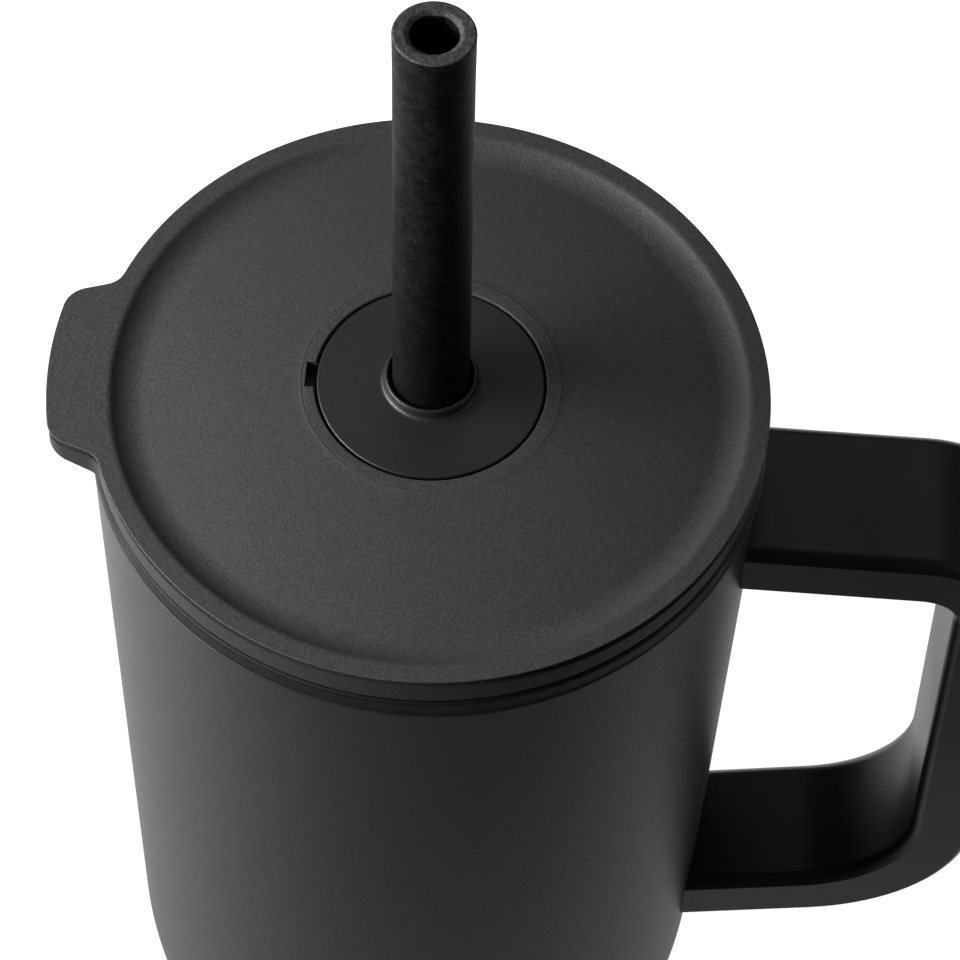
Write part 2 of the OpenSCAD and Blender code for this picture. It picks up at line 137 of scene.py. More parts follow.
def add_piece(name, points, faces, sharp=32):
    """A mesh object from points in millimetres, shaded smooth up to an angle in degrees."""
    mesh = bpy.data.meshes.new(name)
    mesh.from_pydata([Vector(p) * MM for p in points], [], faces)
    mesh.update()
    shape = bmesh.new()
    shape.from_mesh(mesh)
    bmesh.ops.recalc_face_normals(shape, faces=shape.faces)
    shape.to_mesh(mesh)
    shape.free()
    mesh.shade_smooth()
    mesh.set_sharp_from_angle(angle=math.radians(sharp))
    piece = bpy.data.objects.new(name, mesh)
    bpy.context.scene.collection.objects.link(piece)
    return piece


def even_normals(piece):
    """Keeps large faces flat-looking beside narrow fillets."""
    modifier = piece.modifiers.new("even_normals", "WEIGHTED_NORMAL")
    modifier.keep_sharp = True
    modifier.mode = "FACE_AREA_WITH_ANGLE"
    return piece


def skin(name, rings, closed, sharp=32):
    """A skin through rings of equal length. A closed one joins the last ring to the first; an open one
    gets a flat face at each end."""
    count = len(rings[0])
    points = [p for ring in rings for p in ring]
    faces = []
    last = len(rings) if closed else len(rings) - 1
    for j in range(last):
        here = j * count
        there = (j + 1) % len(rings) * count
        for i in range(count):
            k = (i + 1) % count
            faces.append((here + i, here + k, there + k, there + i))
    if not closed:
        faces.append(tuple(range(count)))
        faces.append(tuple(range(len(points) - count, len(points))))
    return add_piece(name, points, faces, sharp)


def lathe(name, profile, segments=160, sharp=32):
    """A solid of revolution. The profile is a loop of (radius, height); radius 0 is a point on the axis."""
    points = []
    rings = []
    for radius, z in profile:
        if radius < 1e-6:
            rings.append([len(points)] * segments)
            points.append((0, 0, z))
            continue
        rings.append(list(range(len(points), len(points) + segments)))
        for i in range(segments):
            angle = TAU * i / segments
            points.append((radius * math.cos(angle), radius * math.sin(angle), z))
    faces = []
    for j, ring in enumerate(rings):
        after = rings[(j + 1) % len(rings)]
        for i in range(segments):
            k = (i + 1) % segments
            corners = []
            for corner in (ring[i], ring[k], after[k], after[i]):
                if corner not in corners:
                    corners.append(corner)
            if len(corners) > 2:
                faces.append(tuple(corners))
    return add_piece(name, points, faces, sharp)


def arc(x, z, radius, start, end, steps):
    """Points on an arc about (x, z), with its angles in degrees."""
    angles = [math.radians(start + (end - start) * i / steps) for i in range(steps + 1)]
    return [(x + radius * math.cos(a), z + radius * math.sin(a)) for a in angles]


def bezier(a, b, c, steps):
    """Quadratic curve from a to c, drawn towards b."""
    curve = []
    for i in range(steps + 1):
        t = i / steps
        p = Vector(a) * (1 - t) ** 2 + Vector(b) * 2 * t * (1 - t) + Vector(c) * t ** 2
        curve.append(tuple(p))
    return curve


def rounded(corners, steps=5):
    """A loop of (x, z) points from corners given as (x, z, rounding)."""
    loop = []
    for i, (x, z, radius) in enumerate(corners):
        here = Vector((x, z))
        if radius == 0:
            loop.append((x, z))
            continue
        back = Vector(corners[i - 1][:2]) - here
        ahead = Vector(corners[(i + 1) % len(corners)][:2]) - here
        half = back.angle(ahead) / 2
        reach = min(radius / math.tan(half), 0.49 * back.length, 0.49 * ahead.length)
        back.normalize()
        ahead.normalize()
        centre = here + (back + ahead).normalized() * reach / math.cos(half)
        start = here + back * reach - centre
        end = here + ahead * reach - centre
        for step in range(steps + 1):
            t = step / steps
            p = start.lerp(end, t).normalized() * start.length + centre
            loop.append((p.x, p.y))
    return loop


def cut(piece, cutter):
    """Cuts one mesh out of another and throws the cutter away."""
    modifier = piece.modifiers.new("cut", "BOOLEAN")
    modifier.operation = "DIFFERENCE"
    modifier.solver = "EXACT"
    modifier.object = cutter
    bpy.context.view_layer.update()
    graph = bpy.context.evaluated_depsgraph_get()
    result = bpy.data.meshes.new_from_object(piece.evaluated_get(graph))
    piece.modifiers.clear()
    piece.data = result
    result.shade_smooth()
    result.set_sharp_from_angle(angle=math.radians(20))
    bpy.data.objects.remove(cutter)
    return piece


def block(name, lowest, highest):
    """A box between two corners, used as a cutter."""
    (x0, y0, z0), (x1, y1, z1) = lowest, highest
    points = [(x, y, z) for z in (z0, z1) for x, y in ((x0, y0), (x1, y0), (x1, y1), (x0, y1))]
    faces = [(0, 1, 2, 3), (4, 5, 6, 7), (0, 1, 5, 4), (1, 2, 6, 5), (2, 3, 7, 6), (3, 0, 4, 7)]
    return add_piece(name, points, faces)


def finish_piece(piece, body, slot, materials, *nodes):
    """Gives a piece its materials, its body and the CAD nodes that it stands for. The slot is not used."""
    if not piece.data.materials:
        for material in materials:
            piece.data.materials.append(material)
    even_normals(piece)
    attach(piece, body)
    if nodes:
        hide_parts(*nodes)
    return piece


# ---------------------------------------------------------------- materials

class Finish:
    """A short way to write a node material: every node is made where its value is used."""

    def __init__(self, name):
        self.material = bpy.data.materials.new(name)
        self.material.use_nodes = True
        self.nodes = self.material.node_tree.nodes
        self.links = self.material.node_tree.links
        self.shader = self.nodes["Principled BSDF"]
        self.place = self.nodes.new("ShaderNodeTexCoord").outputs["Object"]

    def node(self, kind, inputs=None, **settings):
        made = self.nodes.new(kind)
        for key, value in settings.items():
            setattr(made, key, value)
        for key, value in (inputs or {}).items():
            if isinstance(value, bpy.types.NodeSocket):
                self.links.new(value, made.inputs[key])
            else:
                made.inputs[key].default_value = value
        return made

    def noise(self, scale, detail=2.0, roughness=0.5, place=None):
        inputs = {"Vector": place or self.place, "Scale": scale, "Detail": detail, "Roughness": roughness}
        return self.node("ShaderNodeTexNoise", inputs).outputs["Fac"]

    def stretched(self, x, y, z):
        """Coordinates scaled along each axis, for streaks."""
        return self.node("ShaderNodeMapping", {"Vector": self.place, "Scale": (x, y, z)}).outputs["Vector"]

    def around(self):
        """Angle, height and radius about the mug's axis, for marks that follow the turning."""
        parts = self.node("ShaderNodeSeparateXYZ", {"Vector": self.place}).outputs
        angle = self.node("ShaderNodeMath", {0: parts["Y"], 1: parts["X"]}, operation="ARCTAN2").outputs[0]
        flat = self.node("ShaderNodeCombineXYZ", {"X": parts["X"], "Y": parts["Y"]}).outputs[0]
        radius = self.node("ShaderNodeVectorMath", {0: flat}, operation="LENGTH").outputs["Value"]
        return angle, parts["Z"], radius

    def ramp(self, value, low_in, high_in, low_out, high_out):
        inputs = {"Value": value, "From Min": low_in, "From Max": high_in,
                  "To Min": low_out, "To Max": high_out}
        return self.node("ShaderNodeMapRange", inputs).outputs["Result"]

    def mix(self, factor, first, second):
        made = self.node("ShaderNodeMix", data_type="RGBA")
        for key, value in ((0, factor), (6, first), (7, second)):
            if isinstance(value, bpy.types.NodeSocket):
                self.links.new(value, made.inputs[key])
            else:
                made.inputs[key].default_value = value
        return made.outputs[2]

    def maths(self, operation, first, second):
        return self.node("ShaderNodeMath", {0: first, 1: second}, operation=operation).outputs[0]

    def specks(self, scale, size, share):
        """Small sparse dots: 1 inside a dot. A share of the cells has one."""
        cells = self.node("ShaderNodeTexVoronoi", {"Vector": self.place, "Scale": scale})
        near = self.ramp(cells.outputs["Distance"], size, size * 0.5, 0.0, 1.0)
        pick = self.node("ShaderNodeSeparateColor", {"Color": cells.outputs["Color"]}).outputs[0]
        chosen = self.maths("GREATER_THAN", pick, 1.0 - share)
        return self.maths("MULTIPLY", near, chosen)

    def bump(self, height, distance, strength=1.0, under=None):
        inputs = {"Height": height, "Distance": distance, "Strength": strength}
        if under is not None:
            inputs["Normal"] = under
        return self.node("ShaderNodeBump", inputs).outputs["Normal"]

    def set(self, **sockets):
        for key, value in sockets.items():
            socket = self.shader.inputs[key.replace("_", " ")]
            if isinstance(value, bpy.types.NodeSocket):
                self.links.new(value, socket)
            else:
                socket.default_value = value
        return self.material


def grey(value):
    """Linear grey with a trace of warmth taken out, as black mouldings have."""
    return (value, value, value * 1.01, 1.0)


def coat_material():
    """Satin powder coat: fine peel, faint patches and a few light specks of dust."""
    f = Finish("powder_coat")
    patches = f.noise(35, 3)
    peel = f.noise(1500, 2)
    grain = f.noise(5200, 1)
    dust = f.specks(130, 0.02, 0.10)
    tone = f.mix(f.ramp(patches, 0.3, 0.7, 0, 1), grey(0.0080), grey(0.0115))
    tone = f.mix(f.maths("MULTIPLY", f.ramp(grain, 0.45, 0.75, 0, 1), 0.25), tone, grey(0.026))
    tone = f.mix(f.maths("MULTIPLY", dust, 0.5), tone, grey(0.30))
    relief = f.maths("ADD", f.maths("MULTIPLY", peel, 0.7), f.maths("MULTIPLY", grain, 0.3))
    return f.set(Base_Color=tone, Roughness=f.ramp(peel, 0.3, 0.7, 0.40, 0.47),
                 Normal=f.bump(relief, 0.000014), Specular_IOR_Level=0.5)


def lip_material():
    """Dark lip of the cup above the coating, with fine slanted streaks."""
    f = Finish("lip_metal")
    angle, height = f.around()[:2]
    slanted = f.maths("ADD", f.maths("MULTIPLY", angle, 220.0), f.maths("MULTIPLY", height, 4000.0))
    place = f.node("ShaderNodeCombineXYZ", {"X": slanted, "Y": f.maths("MULTIPLY", height, 900.0)}).outputs[0]
    streaks = f.noise(1.0, 3, 0.6, place)
    patches = f.noise(120, 2)
    tone = f.mix(f.ramp(streaks, 0.35, 0.7, 0, 1), grey(0.003), grey(0.012))
    return f.set(Base_Color=tone, Roughness=f.ramp(patches, 0.3, 0.7, 0.50, 0.62),
                 Normal=f.bump(streaks, 0.00005), Specular_IOR_Level=0.22)


def steel_material(name, tone, rough_low, rough_high, turned=True):
    """Stainless steel with fine marks round the axis, or along X when it isn't turned."""
    f = Finish(name)
    if turned:
        angle, height, radius = f.around()
        inputs = {"X": f.maths("MULTIPLY", angle, 3.0), "Y": f.maths("MULTIPLY", height, 5200.0),
                  "Z": f.maths("MULTIPLY", radius, 5200.0)}
        place = f.node("ShaderNodeCombineXYZ", inputs).outputs[0]
    else:
        place = f.stretched(300, 6000, 6000)
    marks = f.noise(1.0, 3, 0.6, place)
    patches = f.noise(60, 3)
    light = f.mix(f.ramp(marks, 0.3, 0.7, 0, 1), grey(tone * 0.86), grey(tone))
    rough = f.maths("ADD", f.ramp(marks, 0.3, 0.7, rough_low, rough_high),
                    f.ramp(patches, 0.3, 0.7, -0.03, 0.05))
    return f.set(Base_Color=light, Metallic=1.0, Roughness=rough, Normal=f.bump(marks, 0.000012))


def lid_material(name, dark, light):
    """Spark-textured moulding: grain of about 0.3 mm in relief and in tone."""
    f = Finish(name)
    grain = f.noise(3100, 2, 0.6)
    coarse = f.noise(900, 2)
    patches = f.noise(28, 3)
    dust = f.specks(200, 0.02, 0.03)
    tone = f.mix(f.ramp(grain, 0.36, 0.64, 0, 1), grey(dark), grey(light))
    tone = f.mix(f.maths("MULTIPLY", f.ramp(patches, 0.3, 0.7, 0, 1), 0.2), tone, grey(dark * 1.2))
    tone = f.mix(f.maths("MULTIPLY", dust, 0.3), tone, grey(0.25))
    relief = f.maths("ADD", f.maths("MULTIPLY", grain, 0.75), f.maths("MULTIPLY", coarse, 0.25))
    return f.set(Base_Color=tone, Roughness=f.ramp(coarse, 0.3, 0.7, 0.50, 0.60),
                 Normal=f.bump(relief, 0.00008), Specular_IOR_Level=0.35)


def disc_material():
    """The disc's moulding is finer and darker than the cover's."""
    f = Finish("disc_plastic")
    grain = f.noise(3600, 2, 0.5)
    patches = f.noise(60, 3)
    tone = f.mix(f.ramp(grain, 0.3, 0.7, 0, 1), grey(0.012), grey(0.018))
    tone = f.mix(f.maths("MULTIPLY", f.ramp(patches, 0.3, 0.7, 0, 1), 0.4), tone, grey(0.012))
    return f.set(Base_Color=tone, Roughness=f.ramp(patches, 0.3, 0.7, 0.38, 0.44),
                 Normal=f.bump(grain, 0.00004), Specular_IOR_Level=0.45)


def handle_material():
    """Smooth moulded handle with faint flow marks and slightly rubbed patches."""
    f = Finish("handle_plastic")
    grain = f.noise(3200, 2)
    flow = f.noise(1.0, 3, 0.5, f.stretched(90, 14, 45))
    rubbed = f.noise(18, 3)
    tone = f.mix(f.ramp(flow, 0.3, 0.7, 0, 1), grey(0.0060), grey(0.0095))
    rough = f.maths("ADD", f.ramp(rubbed, 0.3, 0.7, 0.34, 0.44), f.ramp(grain, 0.3, 0.7, -0.03, 0.03))
    return f.set(Base_Color=tone, Roughness=rough, Normal=f.bump(grain, 0.000014), Specular_IOR_Level=0.45)


def silicone_material(name, dark, light, dusty):
    """Matt silicone: a soft bloom, fine grain and lint that it has picked up."""
    f = Finish(name)
    grain = f.noise(1900, 3, 0.6)
    bloom = f.noise(260, 4, 0.7)
    lint = f.specks(620, 0.16, 0.16)
    tone = f.mix(f.ramp(bloom, 0.3, 0.7, 0, 1), grey(dark), grey(light))
    tone = f.mix(f.maths("MULTIPLY", f.ramp(grain, 0.55, 0.8, 0, 1), 0.5), tone, grey(light * 2))
    tone = f.mix(f.maths("MULTIPLY", lint, dusty), tone, grey(0.12))
    return f.set(Base_Color=tone, Roughness=f.ramp(grain, 0.3, 0.7, 0.55, 0.70),
                 Normal=f.bump(grain, 0.00006), Specular_IOR_Level=0.3)


def straw_material():
    """Black silicone with a dusty bloom, paler towards the tip and darker down towards the collar: the
    darkening is painted shade near the lid. The upward-facing cut face is painted paler as a painted
    highlight, mottled like a torn grain.
    """
    f = Finish("straw_silicone")
    parts = f.node("ShaderNodeSeparateXYZ", {"Vector": f.place}).outputs
    grain = f.noise(1900, 3, 0.6)
    bloom = f.noise(420, 5, 0.75)
    streaks = f.noise(1.0, 3, 0.6, f.stretched(900, 900, 160))
    # Painted shade: the bloom, rubbed streaks and dust fade towards the collar, so the straw darkens near the
    # lid.
    handling_and_painted_shade = f.ramp(parts["Z"], COLLAR_Z * MM, (STRAW_Z - 15) * MM, 0.25, 1.0)
    bloom_and_painted_shade = f.maths("MULTIPLY", f.ramp(bloom, 0.36, 0.66, 0, 1), handling_and_painted_shade)
    tone = f.mix(bloom_and_painted_shade, grey(0.0010), grey(0.0150))
    rubbed = f.maths("MULTIPLY", f.ramp(streaks, 0.55, 0.75, 0, 1), 0.25)
    tone = f.mix(f.maths("MULTIPLY", rubbed, handling_and_painted_shade), tone, grey(0.02))
    dust = f.maths("ADD", f.specks(950, 0.20, 0.30), f.specks(520, 0.12, 0.12))
    dust = f.maths("MULTIPLY", f.maths("MINIMUM", dust, 1.0), f.maths("MULTIPLY", handling_and_painted_shade, 0.5))
    tone = f.mix(dust, tone, grey(0.07))
    # Painted highlight: the upward-facing cut face at the tip gets a much paler tone than the silicone,
    # mottled and specked like a torn grain.
    normal = f.node("ShaderNodeNewGeometry").outputs["Normal"]
    facing = f.node("ShaderNodeSeparateXYZ", {"Vector": normal}).outputs
    sliced = f.maths("MULTIPLY", f.ramp(facing["Z"], 0.25, 0.6, 0, 1),
                     f.ramp(parts["Z"], (STRAW_Z - 2.0) * MM, (STRAW_Z - 1.5) * MM, 0, 1))
    torn = f.mix(f.ramp(f.noise(1300, 4, 0.7), 0.35, 0.7, 0, 1), grey(0.045), grey(0.13))
    torn = f.mix(f.maths("MULTIPLY", f.specks(1500, 0.25, 0.25), 0.5), torn, grey(0.35))
    tone = f.mix(sliced, tone, torn)
    relief = f.maths("ADD", grain, f.maths("MULTIPLY", bloom, 1.5))
    return f.set(Base_Color=tone, Roughness=f.ramp(grain, 0.3, 0.7, 0.55, 0.70),
                 Normal=f.bump(relief, 0.00007), Specular_IOR_Level=0.11,
                 Sheen_Weight=0.015, Sheen_Roughness=0.25)


def tube_material():
    """Rigid lower tube: smoother, with faint lines along its length."""
    f = Finish("tube_plastic")
    lines = f.noise(1.0, 2, 0.5, f.stretched(1500, 1500, 20))
    patches = f.noise(50, 3)
    tone = f.mix(f.ramp(patches, 0.3, 0.7, 0, 1), grey(0.010), grey(0.016))
    return f.set(Base_Color=tone, Roughness=f.ramp(lines, 0.3, 0.7, 0.28, 0.38),
                 Normal=f.bump(lines, 0.00002))


def mineral_material(name, dark, light, rough):
    """Dull sintered or glassy stuff for the sealing bead and the getter."""
    f = Finish(name)
    grain = f.noise(1500, 4, 0.6)
    tone = f.mix(f.ramp(grain, 0.3, 0.7, 0, 1), grey(dark), grey(light))
    return f.set(Base_Color=tone, Roughness=f.ramp(grain, 0.3, 0.7, rough, rough + 0.2),
                 Normal=f.bump(grain, 0.0001))


def floor_material():
    """White light table. It looks plain white to the camera, by its Light Path node, but the glow that
    reaches the mug is uneven: strongest from behind it and from its left."""
    f = Finish("studio_floor")
    mottle = f.noise(3, 2)
    tone = f.mix(f.ramp(mottle, 0.3, 0.7, 0, 1), grey(0.11), grey(0.13))
    parts = f.node("ShaderNodeSeparateXYZ", {"Vector": f.place}).outputs
    leftward = f.maths("MULTIPLY", parts["X"], -0.2)
    backward = f.maths("MULTIPLY", parts["Y"], 0.9)
    glow = f.ramp(f.maths("ADD", leftward, backward), -0.13, 0.22, 0.03, 1.55)
    seen = f.node("ShaderNodeLightPath").outputs["Is Camera Ray"]
    glow = f.maths("MAXIMUM", glow, seen)
    return f.set(Base_Color=tone, Roughness=0.6, Emission_Color=(1, 1, 1, 1), Emission_Strength=glow)


COATING = coat_material()
LIP = lip_material()
STEEL_INSIDE = steel_material("bowl_steel", 0.60, 0.22, 0.34)
STEEL_BASE = steel_material("base_steel", 0.55, 0.26, 0.40)
STEEL_BRACKET = steel_material("bracket_steel", 0.50, 0.35, 0.45, turned=False)
STEEL_SCREW = steel_material("screw_steel", 0.58, 0.25, 0.35, turned=False)
LID_PLASTIC = lid_material("lid_plastic", 0.030, 0.056)
# The lid body's copy of the lid plastic is darker: painted shade on the skirt and plug under the cover.
LID_PLASTIC_SHADED = lid_material("lid_plastic_painted_shade", 0.020, 0.036)
DISC_PLASTIC = disc_material()
HANDLE_PLASTIC = handle_material()
STRAW_SILICONE = straw_material()
SEAL_SILICONE = silicone_material("seal_silicone", 0.020, 0.030, 0.15)
TUBE_PLASTIC = tube_material()
SOLDER = mineral_material("solder_glass", 0.10, 0.20, 0.3)
GETTER = mineral_material("getter_alloy", 0.14, 0.25, 0.6)


# ---------------------------------------------------------------- cup

def lower_r(z):
    """Outer radius of the lower taper."""
    return FOOT_R + (BEND_R - FOOT_R) * (z - FOOT_ROUND) / (BEND_Z - FOOT_ROUND)


def upper_r(z):
    """Outer radius of the upper taper."""
    return BEND_R + (CUP_R - BEND_R) * (z - BEND_Z) / (CUP_H - BEND_Z)


def wall_r(z):
    """Outer radius of the wall, without the blend at the bend."""
    return upper_r(z) if z > BEND_Z else lower_r(z)


def bend_line(inset):
    """The soft bend between the two tapers, from below, inset by a distance."""
    below = BEND_Z - BEND_REACH
    above = BEND_Z + BEND_REACH
    start = (lower_r(below) - inset, below)
    end = (upper_r(above) - inset, above)
    return bezier(start, (BEND_R - inset, BEND_Z), end, 10)


def outer_wall():
    """Painted wall with its folded hem. The coating ends in a slightly uneven step under the bare lip."""
    segments = 256
    coat_z = CUP_H - LIP_BAND
    lip_r = upper_r(CUP_H) - COAT
    top_r = upper_r(coat_z)
    # each row: radius, height, how far it follows the uneven edge of the coating
    outside = [(r, z, 0) for r, z in arc(FOOT_R - FOOT_ROUND, FOOT_ROUND, FOOT_ROUND, 270, 360, 8)]
    outside += [(r, z, 0) for r, z in bend_line(0)]
    outside += [(upper_r(z), z, 0) for z in (110.0, 160.0, 190.0)]
    outside += [(top_r, coat_z - 0.35, 1), (top_r - 0.01, coat_z - 0.16, 1), (top_r - 0.05, coat_z - 0.05, 1),
                (top_r - 0.11, coat_z, 1), (top_r - COAT, coat_z + 0.01, 1)]
    lip = [(top_r - COAT, coat_z + 0.3, 0.5), (lip_r, CUP_H - 0.9, 0)]
    lip += [(r, z, 0) for r, z in arc(lip_r - 0.5, CUP_H - 0.5, 0.5, 0, 90, 6)]
    inside = [(lip_r - STEEL, CUP_H, 0), (upper_r(190.0) - STEEL, 190.0, 0)]
    inside += [(r, z, 0) for r, z in reversed(bend_line(STEEL))]
    inside += [(r, z, 0) for r, z in arc(FOOT_R - FOOT_ROUND, FOOT_ROUND, FOOT_ROUND - STEEL, 360, 270, 6)]
    hem = [(HEM_R + STEEL, STEEL, 0), (HEM_R + STEEL, HEM_H, 0), (HEM_R, HEM_H, 0)]
    hem += [(HEM_R, 0.3, 0), (HEM_R + 0.3, 0, 0)]
    rows = outside + lip + inside + hem
    rings = []
    for radius, z, follow in rows:
        ring = []
        for i in range(segments):
            angle = TAU * i / segments
            edge = Vector((2.2 * math.cos(angle), 2.2 * math.sin(angle), 0))
            fine = Vector((9 * math.cos(angle), 9 * math.sin(angle), 5))
            wave = 0.22 * noise.noise(edge) + 0.12 * noise.noise(fine)
            ring.append((radius * math.cos(angle), radius * math.sin(angle), z + follow * wave))
        rings.append(ring)
    piece = skin("outer_wall", rings, True)
    for material in (COATING, LIP):
        piece.data.materials.append(material)
    bare = range(len(outside) - 1, len(outside) + len(lip) + 1)
    for face in piece.data.polygons:
        if face.index // segments in bare:
            face.material_index = 1
    return finish_piece(piece, "cup", "powder_coat", (), "outer_shell")


def bowl():
    """Inner wall: rounded mouth, straight seat for the seal, short neck, tapered bowl and rounded floor."""
    inset = 2 * STEEL + VACUUM
    mouth_z = CUP_H - 22
    neck_z = mouth_z - 7
    floor_z = 8.2
    fillet = 8
    floor_r = lower_r(floor_z) - inset
    rim_r = upper_r(CUP_H) - STEEL - COAT
    inside = [(0, floor_z)]
    inside += arc(floor_r - fillet, floor_z + fillet, fillet, 270, 352, 12)
    inside += bend_line(inset)
    inside += [(upper_r(neck_z - 2) - inset, neck_z - 2)]
    inside += bezier((upper_r(neck_z - 1) - inset, neck_z - 1), (upper_r(neck_z + 0.6) - inset, neck_z + 0.6),
                     (upper_r(neck_z) - inset + 0.9, neck_z + 2), 5)
    inside += bezier((MOUTH_R - 0.9, mouth_z - 2), (MOUTH_R, mouth_z - 0.2), (MOUTH_R, mouth_z + 1.6), 5)
    inside += arc(MOUTH_R + 0.4, CUP_H - 0.4, 0.4, 180, 90, 5)
    outside = [(rim_r, CUP_H), (rim_r, CUP_H - 1.2), (MOUTH_R + STEEL, CUP_H - 1.2),
               (MOUTH_R + STEEL, mouth_z),
               (upper_r(neck_z) - inset + STEEL, neck_z)]
    outside += reversed(bend_line(inset - STEEL))
    outside += arc(floor_r - fillet, floor_z + fillet, fillet + STEEL, 352, 270, 8)
    outside += [(0, floor_z - STEEL)]
    piece = lathe("bowl", inside + outside, 200)
    return finish_piece(piece, "cup", "bare_steel", (STEEL_INSIDE,), "inner_liner")


def foot_plate():
    """Dished plate pressed into the hem, with rolled corners."""
    flat_r = HEM_R - 6
    thick = 0.8
    dish = 0.5
    corners = [(0, CAP_Z + dish, 0), (flat_r - 4, CAP_Z + dish, 3), (flat_r, CAP_Z, 3),
               (HEM_R - 0.02, CAP_Z, 0.3),
               (HEM_R - 0.02, CAP_Z + thick, 0.2), (flat_r, CAP_Z + thick, 3),
               (flat_r - 4, CAP_Z + thick + dish, 3), (0, CAP_Z + thick + dish, 0)]
    piece = lathe("foot_plate", rounded(corners), 160)
    return finish_piece(piece, "cup", "bare_steel", (STEEL_BASE,), "base_cap")


# ---------------------------------------------------------------- handle

def strap_path():
    """Middle line of the strap: (x, z, direction) from the upper root to the lower one."""
    mid = STRAP_T / 2
    upper_z = ARM_TOP - mid
    grip = GRIP_X - mid
    upper_r_mid = UPPER_BEND + mid
    lower_r_mid = LOWER_BEND + mid
    upper_c = (grip - upper_r_mid, upper_z - upper_r_mid)
    lower_mid_z = LOWER_ARM_Z - mid / math.cos(LOWER_SLOPE)
    lower_x = grip - lower_r_mid
    lower_z = lower_mid_z + (lower_x - 60) * math.tan(LOWER_SLOPE) + lower_r_mid / math.cos(LOWER_SLOPE)
    line = [(56.0, upper_z, 0.0), (SCREW_X, upper_z, 0.0), (70.0, upper_z, 0.0)]
    for step in range(17):
        turn = math.pi / 2 * step / 16
        line.append((upper_c[0] + upper_r_mid * math.sin(turn), upper_c[1] + upper_r_mid * math.cos(turn),
                     -turn))
    for step in range(1, 6):
        z = upper_c[1] + (lower_z - upper_c[1]) * step / 6
        line.append((grip, z, -math.pi / 2))
    sweep = math.pi / 2 - LOWER_SLOPE
    for step in range(21):
        turn = sweep * step / 20
        line.append((lower_x + lower_r_mid * math.cos(turn), lower_z - lower_r_mid * math.sin(turn),
                     -math.pi / 2 - turn))
    end = Vector((line[-1][0], line[-1][1]))
    back = Vector((-math.cos(LOWER_SLOPE), -math.sin(LOWER_SLOPE)))
    for distance in (3.0, 6.0):
        p = end + back * distance
        line.append((p.x, p.y, -math.pi + LOWER_SLOPE))
    return line


def strap_outline(width, thick):
    """Section of the strap, (across, up), with a fine parting line in the middle of its inner face."""
    w = width / 2
    t = thick / 2
    ridge = 0.02
    across = w - STRAP_ROUND * math.cos(math.radians(STRAP_EDGE))
    corner = arc(across, t - STRAP_ROUND, STRAP_ROUND, STRAP_EDGE, 90, 7)
    left = [(-x, z) for x, z in reversed(corner)]
    seam = [(-0.2, -t), (0, -t - ridge), (0.2, -t)]
    top = corner + left
    return top + [(x, -z) for x, z in reversed(left)] + seam + [(x, -z) for x, z in reversed(corner)]


def to_wall(point, direction):
    """Moves a point along a direction until it is just inside the painted wall."""
    bite = 0.25                         # how far the root reaches into the wall
    p = Vector(point)
    for _ in range(40):
        gap = math.hypot(p.x, p.y) - (wall_r(p.z) - bite)
        p += Vector(direction) * gap
    return tuple(p)


def strap():
    """Strap handle, narrowing slightly towards its lower end, its roots shaped to the wall."""
    line = strap_path()
    lower_w = STRAP_W - 1.6
    rings = []
    for x, z, heading in line:
        share = min(max((ARM_TOP - z) / (ARM_TOP - LOWER_ARM_Z), 0), 1)
        width = STRAP_W + (lower_w - STRAP_W) * share
        normal = Vector((-math.sin(heading), 0, math.cos(heading)))
        ring = []
        for across, up in strap_outline(width, STRAP_T - 0.1):
            ring.append(tuple(Vector((x, across, z)) + normal * up))
        rings.append(ring)
    root = [to_wall(p, (-1, 0, 0)) for p in rings[0]]
    rings.insert(0, root)
    slope = (-math.cos(LOWER_SLOPE), 0, -math.sin(LOWER_SLOPE))
    rings.append([to_wall(p, slope) for p in rings[-1]])
    return skin("handle_strap", rings, False, 20)


def arm_frame(lower):
    """Matrix of an arm: x along it, z across it, origin under its screw."""
    if not lower:
        return Matrix.Translation(Vector((SCREW_X, 0, ARM_TOP - STRAP_T / 2)))
    z = LOWER_ARM_Z - STRAP_T / 2 / math.cos(LOWER_SLOPE) + (SCREW_X - 60) * math.tan(LOWER_SLOPE)
    return Matrix.Translation(Vector((SCREW_X, 0, z))) @ Matrix.Rotation(-LOWER_SLOPE, 4, "Y")


def put(piece, matrix):
    """Moves a mesh made in millimetres by a matrix in millimetres."""
    scaled = matrix.copy()
    scaled.translation = matrix.translation * MM
    piece.data.transform(scaled)
    return piece


def handle():
    """Strap with its two screw bores, and the caps that close them."""
    piece = strap()
    for lower in (False, True):
        under = -STRAP_T / 2
        bore = [(0, under - 1), (CAP_R + 0.12, under - 1), (CAP_R + 0.12, under + 1.0), (3.3, under + 1.0),
                (3.3, under + 2.7), (1.9, under + 2.7), (1.9, STRAP_T / 2 - 1.9), (0, STRAP_T / 2 - 1.9)]
        cut(piece, put(lathe("bore", bore, 48), arm_frame(lower)))
    finish_piece(piece, "cup", "handle_plastic", (HANDLE_PLASTIC,), "handle")
    for lower in (False, True):
        under = -STRAP_T / 2
        plug = [(0, under + 0.02, 0), (CAP_R, under + 0.02, 0.3), (CAP_R, under + 0.98, 0.1),
                (0, under + 0.98, 0)]
        name = "screw_cap_lower" if lower else "screw_cap_upper"
        cap = put(lathe(name, rounded(plug, 4), 64), arm_frame(lower))
        finish_piece(cap, "cup", "handle_plastic", (HANDLE_PLASTIC,), "screw_caps")


# ---------------------------------------------------------------- lid

TAB_CORNER = 4.3
TAB_ROOT = 3.6
TAB_SIDE_X = 50.0        # where the tab's half width is measured
TAB_SIDE_Y = 15.3
TAB_FLARE = 0.33         # how much each side opens towards the rim


def meet(point, direction, radius):
    """Far point where a line from a point meets a circle about the axis."""
    along = point.dot(direction)
    return point + direction * (math.sqrt(along ** 2 - point.length_squared + radius ** 2) - along)


